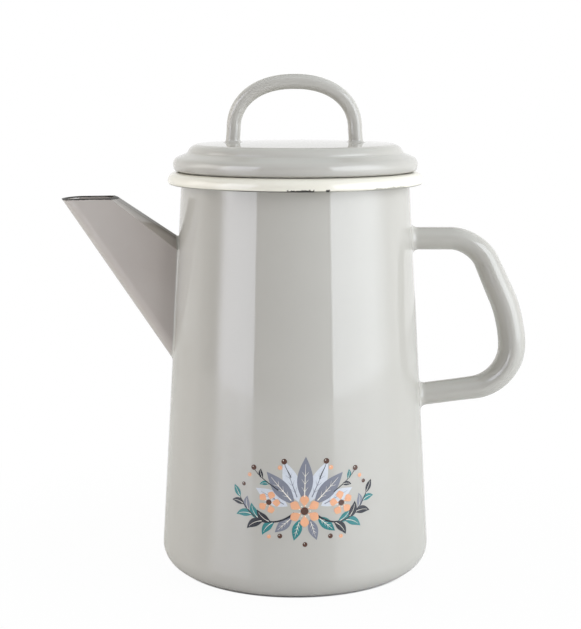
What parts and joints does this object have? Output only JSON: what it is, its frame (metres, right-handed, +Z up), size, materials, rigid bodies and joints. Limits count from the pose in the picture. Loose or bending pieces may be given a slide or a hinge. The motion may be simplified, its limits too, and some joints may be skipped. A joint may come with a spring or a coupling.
{
  "type": "coffee pot",
  "caption": "Tapered enamelled steel pot with a flat-sided pouring spout, a hollow loop handle and a lift-off lid with a bow handle.",
  "frame": {"origin": "centre of the base, on the surface that the pot stands on", "axes": "+Z up along the pot's axis, spout towards -X, loop handle towards +X, +Y across the pot"},
  "size_m": [0.2209, 0.1286, 0.2357],
  "materials": {
    "grey_enamel": "glossy warm grey vitreous enamel",
    "cream_enamel": "glossy cream vitreous enamel"
  },
  "bodies": {
    "pot": {"side_wall": "grey_enamel", "base_pan": "grey_enamel", "rim_ring": "cream_enamel", "spout": "grey_enamel", "spout_weld": "grey_enamel", "handle": "grey_enamel", "handle_weld_upper": "grey_enamel", "handle_weld_lower": "grey_enamel"},
    "lid_seat": {"lid_collar": "cream_enamel"},
    "lid": {"lid_dome": "grey_enamel", "lid_handle": "grey_enamel", "lid_handle_weld_left": "grey_enamel", "lid_handle_weld_right": "grey_enamel"}
  },
  "joints": [
    {"name": "lid_lift", "type": "slide", "parent": "pot", "child": "lid_seat", "axis": [0, 0, 1], "range_m": [0, 0.08]},
    {"name": "lid_turn", "type": "hinge", "parent": "lid_seat", "child": "lid", "pos_m": [0, 0, 0.1909], "axis": [0, 0, 1], "continuous": true}
  ]
}
